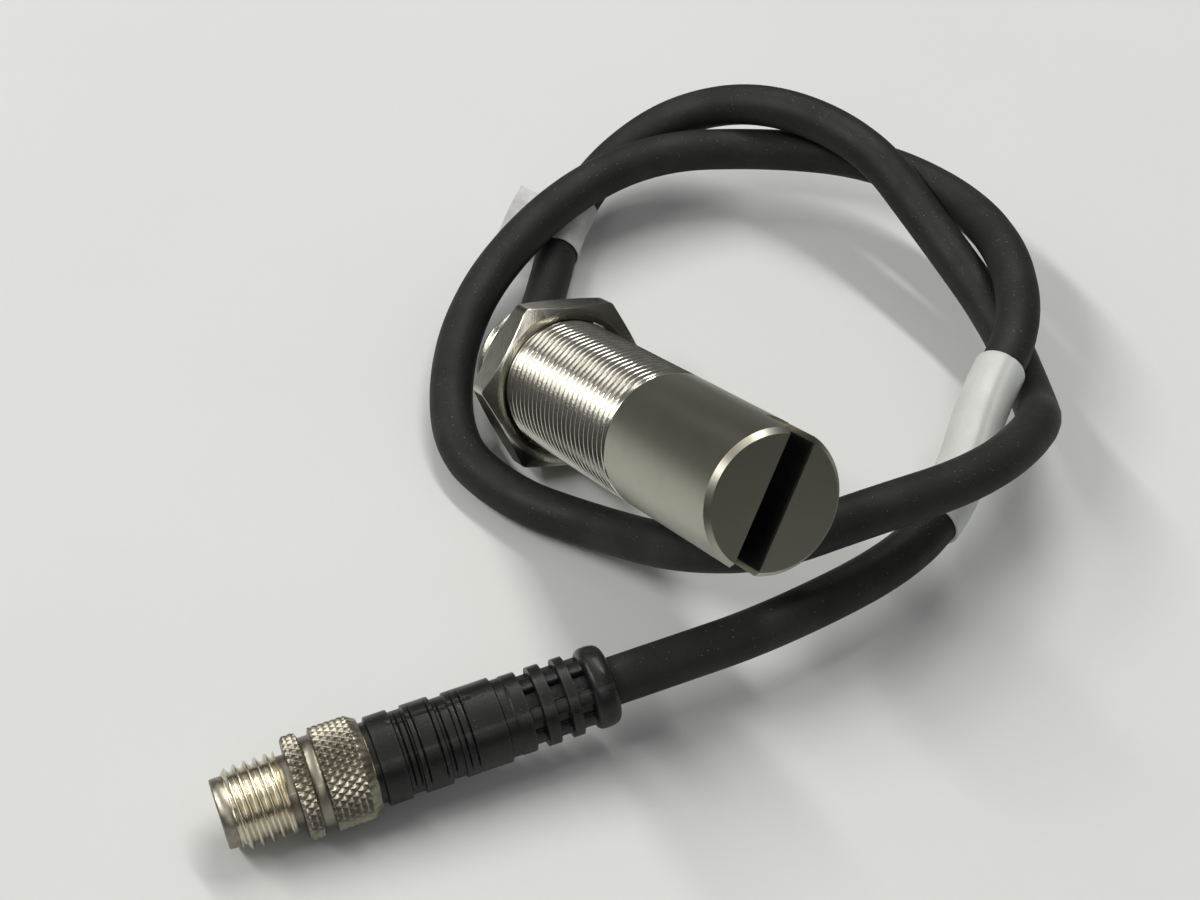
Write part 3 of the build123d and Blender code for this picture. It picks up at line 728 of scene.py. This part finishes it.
def finish(name, light, dark, metallic=0.0, rough=(0.35, 0.5), patch=300.0, grain=3000.0, bump=0.15,
           wear=None, dust=0.0, specular=0.5):
    """A material from the shared groups. wear is (colour, amount), and dust is an amount."""
    material = bpy.data.materials.new(name)
    material.use_nodes = True
    tree = material.node_tree
    shader = tree.nodes["Principled BSDF"]
    base = node(tree, "ShaderNodeGroup", {"node_tree": cloudy_grain}, **{
        "Light Color": (*light, 1), "Dark Color": (*dark, 1), "Patch Scale": patch, "Grain Scale": grain,
        "Low Roughness": rough[0], "High Roughness": rough[1]})
    color = base.outputs["Color"]
    if wear:
        worn = node(tree, "ShaderNodeGroup", {"node_tree": worn_edges}, **{
            "Color": color, "Worn Color": (*wear[0], 1), "Amount": wear[1]})
        color = worn.outputs["Color"]
    if dust:
        dusty = node(tree, "ShaderNodeGroup", {"node_tree": settled_dust}, Color=color, Amount=dust)
        color = dusty.outputs["Color"]
    bumped = node(tree, "ShaderNodeBump", None,
                  Strength=bump, Distance=0.00005, Height=base.outputs["Height"])
    tree.links.new(color, shader.inputs["Base Color"])
    tree.links.new(base.outputs["Roughness"], shader.inputs["Roughness"])
    tree.links.new(bumped.outputs[0], shader.inputs["Normal"])
    shader.inputs["Metallic"].default_value = metallic
    shader.inputs["Specular IOR Level"].default_value = specular
    return material


def dress(target, material):
    """Gives a piece, or a CAD node by its name, one material."""
    obj = frame["nodes"][target] if isinstance(target, str) else target
    obj.data.materials.clear()
    obj.data.materials.append(material)


# %% [markdown]
# ## Metals
# The head is plated with satin nickel, smooth and a little yellow. The two threads are the same
# plating but glossier, so each crest catches the light. The nut lies between them. The knurled grip
# is dull from handling, and its darker colour, which the pilot shares, is painted shade. Metal shows
# mostly what it mirrors, so roughness matters most.

# %% Nickel, brass and steel
satin_nickel = finish("satin_nickel", (0.435, 0.428, 0.358), (0.415, 0.408, 0.340), 1.0, (0.31, 0.335), 420.0,
                      7500.0, 0.12, dust=0.04)
bright_nickel = finish("bright_nickel", (0.48, 0.47, 0.40), (0.41, 0.40, 0.34), 1.0, (0.16, 0.24), 400.0,
                       4200.0, 0.2, wear=((0.80, 0.78, 0.72), 0.3), dust=0.06)
plug_nickel = finish("plug_nickel", (0.76, 0.72, 0.60), (0.66, 0.61, 0.48), 1.0, (0.18, 0.27), 600.0,
                     5000.0, 0.2, wear=((0.94, 0.92, 0.84), 0.8), dust=0.05)
# A darker copy of the ring's plating: painted shade on the knurled grip, also used on the pilot.
shaded_grip_nickel = finish("shaded_grip_nickel", (0.31, 0.29, 0.235), (0.24, 0.22, 0.175), 1.0, (0.33, 0.43), 600.0,
                     5000.0, 0.2, wear=((0.46, 0.43, 0.36), 0.7), dust=0.05)
turned_brass = finish("turned_brass", (0.78, 0.66, 0.40), (0.62, 0.50, 0.28), 1.0, (0.2, 0.32), 500.0,
                      4000.0, 0.2)
gold_contact = finish("gold_contact", (0.88, 0.70, 0.34), (0.74, 0.56, 0.24), 1.0, (0.12, 0.22), 700.0,
                      5000.0, 0.1)
spring_steel = finish("spring_steel", (0.62, 0.62, 0.62), (0.48, 0.48, 0.50), 1.0, (0.2, 0.34), 500.0,
                      5000.0, 0.2)
thread_nickel = finish("thread_nickel", (0.72, 0.70, 0.62), (0.64, 0.62, 0.54), 1.0, (0.13, 0.19), 500.0,
                       5200.0, 0.2, wear=((0.92, 0.90, 0.86), 0.8), dust=0.06)

# %% Dress the metal pieces
dress(thread_tube, thread_nickel)
dress(head, satin_nickel)
for target in (nut, "lock_washer"):
    dress(target, bright_nickel)
dress(ring, plug_nickel)
dress(grip_piece, shaded_grip_nickel)
dress(pilot_piece, shaded_grip_nickel)
hidden_metal = {"plug_core": turned_brass, "contact_pins": gold_contact, "ring_clip": spring_steel}
for target, material in hidden_metal.items():
    dress(target, material)
print("materials so far:", len(bpy.data.materials))

# %% [markdown]
# ## Plastics and rubber
# The cable's jacket is a matte black plastic with a fine grain, the boot is the same black but
# smoother, and the sleeves are white. The pieces inside the barrel have their own plastics,
# resin and ferrite, so that a cutaway view is also right.

# %% Jacket, boot and sleeves
jacket = finish("cable_jacket", (0.024, 0.0245, 0.023), (0.015, 0.0155, 0.015), 0.0, (0.5, 0.64), 200.0,
                4200.0, 0.5, dust=0.12, specular=0.2)
boot_black = finish("boot_black", (0.013, 0.013, 0.013), (0.006, 0.006, 0.006), 0.0, (0.24, 0.40), 300.0,
                    5200.0, 0.35, wear=((0.05, 0.05, 0.05), 0.5), dust=0.10, specular=0.28)
label_film = finish("label_film", (0.62, 0.62, 0.60), (0.42, 0.42, 0.41), 0.0, (0.3, 0.45), 380.0,
                    2500.0, 0.2)
marker_white = finish("marker_white", (0.63, 0.645, 0.615), (0.55, 0.565, 0.53), 0.0, (0.3, 0.45), 260.0,
                      3000.0, 0.2, dust=0.06)
black_moulding = finish("black_moulding", (0.030, 0.030, 0.032), (0.018, 0.018, 0.02), 0.0, (0.4, 0.55),
                        300.0, 4000.0, 0.4, dust=0.1)
# Near-black for the slot's channel: painted shade, darker than the black cable.
slot_shade_black = finish("slot_shade_black", (0.006, 0.006, 0.006), (0.004, 0.004, 0.004), 0.0, (0.4, 0.6), 300.0,
                      4000.0, 0.3, specular=0.12)
for target, material in ((cable, jacket), (boot_piece, boot_black), (label_piece, label_film),
                         (marker, marker_white), (slot_shade_liner, slot_shade_black)):
    dress(target, material)
print("materials so far:", len(bpy.data.materials))

# %% The pieces inside
ferrite = finish("ferrite", (0.10, 0.095, 0.09), (0.06, 0.055, 0.05), 0.0, (0.5, 0.7), 500.0, 6000.0, 0.6)
bobbin_white = finish("bobbin_white", (0.82, 0.80, 0.72), (0.70, 0.68, 0.60), 0.0, (0.35, 0.5))
winding = finish("copper_winding", (0.78, 0.40, 0.20), (0.55, 0.24, 0.11), 1.0, (0.22, 0.34), 300.0,
                 6000.0, 0.8)
board_green = finish("board_green", (0.05, 0.26, 0.12), (0.03, 0.16, 0.07), 0.0, (0.25, 0.4), 900.0,
                     5000.0, 0.2)
chip_black = finish("chip_black", (0.05, 0.05, 0.055), (0.03, 0.03, 0.033), 0.0, (0.4, 0.55), 900.0,
                    6000.0, 0.4)
amber_film = finish("amber_film", (0.66, 0.42, 0.12), (0.50, 0.30, 0.07), 0.0, (0.2, 0.3), 200.0,
                    2000.0, 0.1)
resin = finish("potting_resin", (0.06, 0.06, 0.065), (0.035, 0.035, 0.04), 0.0, (0.12, 0.25), 300.0,
               1500.0, 0.2)
core_brown = finish("core_insulation", (0.28, 0.15, 0.08), (0.20, 0.10, 0.05), 0.0, (0.3, 0.45))
seal_black = finish("seal_rubber", (0.035, 0.035, 0.035), (0.02, 0.02, 0.02), 0.0, (0.5, 0.65), 400.0,
                    5000.0, 0.4)
inside = {
    "ferrite_core": ferrite, "coil_bobbin": bobbin_white, "coil_winding": winding,
    "core_carrier": black_moulding, "circuit_board": board_green, "board_components": chip_black,
    "insulating_sleeve": amber_film, "potting_plug": resin, "sensor_wires": core_brown,
    "plug_wires": core_brown, "gland_seal": seal_black, "rear_gland": black_moulding,
    "contact_carrier": black_moulding,
}
for name, material in inside.items():
    dress(name, material)
print("pieces inside:", len(inside))

# %% [markdown]
# ## Bench
# The part lies on a pale, even bench. A polished barrel would mirror all of a large bright bench
# and lose its shape, as it does on a real one without black cards beside it. Here the bench
# turns dark away from the part, but only for rays that a mirror sends out.

# %% Bench
BENCH_REACH = 3.0
bench_mesh = bpy.data.meshes.new("bench")
bench_mesh.from_pydata([(-BENCH_REACH, -BENCH_REACH, 0), (BENCH_REACH, -BENCH_REACH, 0),
                        (BENCH_REACH, BENCH_REACH, 0), (-BENCH_REACH, BENCH_REACH, 0)], [], [(0, 1, 2, 3)])
bench = bpy.data.objects.new("bench", bench_mesh)
bpy.context.collection.objects.link(bench)
bench_paint = finish("bench_paint", (0.68, 0.69, 0.675), (0.66, 0.67, 0.655), 0.0,
                     (0.55, 0.7), 18.0, 900.0, 0.1, specular=0.3)
bench_mesh.materials.append(bench_paint)
paint = bench_paint.node_tree
spot = node(paint, "ShaderNodeVectorMath", {"operation": "LENGTH"},
            i0=node(paint, "ShaderNodeTexCoord").outputs["Object"])
away = node(paint, "ShaderNodeMapRange", None, i0=spot.outputs["Value"], i1=0.02, i2=0.22)
glossy = node(paint, "ShaderNodeLightPath").outputs["Is Glossy Ray"]
dim = node(paint, "ShaderNodeMath", {"operation": "MULTIPLY"}, i0=away.outputs[0], i1=glossy)
bench_color = paint.nodes["Principled BSDF"].inputs["Base Color"]
pale = bench_color.links[0].from_socket
paint.links.new(blend_color(paint, dim.outputs[0], pale, (0.05, 0.05, 0.045, 1)), bench_color)
print("bench side", 2 * BENCH_REACH, "m")

# %% [markdown]
# ## Lamps
# Two long lamps hang over the bench on either side, in line with the barrel. Their length keeps
# the shadows soft along the part, and their narrowness draws the edges of the head and the nut.

# %% Lamps


def lamp(name, place, aim, size, watts, color):
    """A rectangular area light at a place, turned to look at a point."""
    light = bpy.data.lights.new(name, "AREA")
    light.shape = "RECTANGLE"
    light.size, light.size_y = size
    light.energy = watts
    light.color = color
    obj = bpy.data.objects.new(name, light)
    obj.location = place
    obj.rotation_euler = (Vector(aim) - Vector(place)).to_track_quat("-Z", "Y").to_euler()
    bpy.context.collection.objects.link(obj)
    print(name, watts, "W")


LAMP_SIZE, WARM = (1.4, 0.12), (1.0, 0.98, 0.95)
lamp("long_lamp_left", (-0.45, -0.85, 1.15), (-0.45, 0, 0), LAMP_SIZE, 12, WARM)
lamp("long_lamp_right", (-0.55, 0.50, 1.35), (-0.50, 0, 0), LAMP_SIZE, 11.5, WARM)

# %% [markdown]
# ## Room
# The world fills in the shadows evenly. What the metal mirrors is a darker room with two bright
# bands overhead, like rows of windows in line with the barrel: they give the threads their long
# streaks of light, which lamps strong enough to do so would spoil by burning out the bench.

# %% Room
world = bpy.data.worlds.new("soft_room")
bpy.context.scene.world = world
world.use_nodes = True
room = world.node_tree
sky = node(room, "ShaderNodeTexCoord").outputs["Generated"]
upward = node(room, "ShaderNodeSeparateXYZ", Vector=sky).outputs["Z"]
rise = node(room, "ShaderNodeMapRange", None, i0=upward, i1=0.05, i2=0.95)
walls = blend_color(room, rise.outputs[0], (0.035, 0.035, 0.03, 1), (0.15, 0.15, 0.145, 1))


def window_band(below, across, width, bright):
    """The walls with a bright band over them: the directions near the plane square to a vector, but
    not those near the horizon, which the plain head would mirror."""
    aside = node(room, "ShaderNodeVectorMath", {"operation": "DOT_PRODUCT"}, i0=sky, i1=across)
    off = node(room, "ShaderNodeMath", {"operation": "ABSOLUTE"}, i0=aside.outputs["Value"])
    band = node(room, "ShaderNodeMapRange", None, i0=off.outputs[0], i1=width, i2=width * 0.6)
    above = node(room, "ShaderNodeMapRange", None, i0=upward, i1=0.3, i2=0.5)
    share = node(room, "ShaderNodeMath", {"operation": "MULTIPLY"}, i0=band.outputs[0], i1=above.outputs[0])
    return blend_color(room, share.outputs[0], below, (bright, bright * 0.98, bright * 0.94, 1))


walls = window_band(walls, (0.281, -0.747, -0.603), 0.16, 1.9)
walls = window_band(walls, (-0.02, -1.0, 0.045), 0.09, 2.0)
rays = node(room, "ShaderNodeLightPath").outputs
mirrored = blend_color(room, rays["Is Glossy Ray"], (0.31, 0.315, 0.32, 1), walls)
seen = blend_color(room, rays["Is Camera Ray"], mirrored, (0.70, 0.705, 0.69, 1))
room.links.new(seen, room.nodes["Background"].inputs["Color"])
bpy.context.scene.view_settings.view_transform = "Standard"
print("room", len(room.nodes), "nodes")
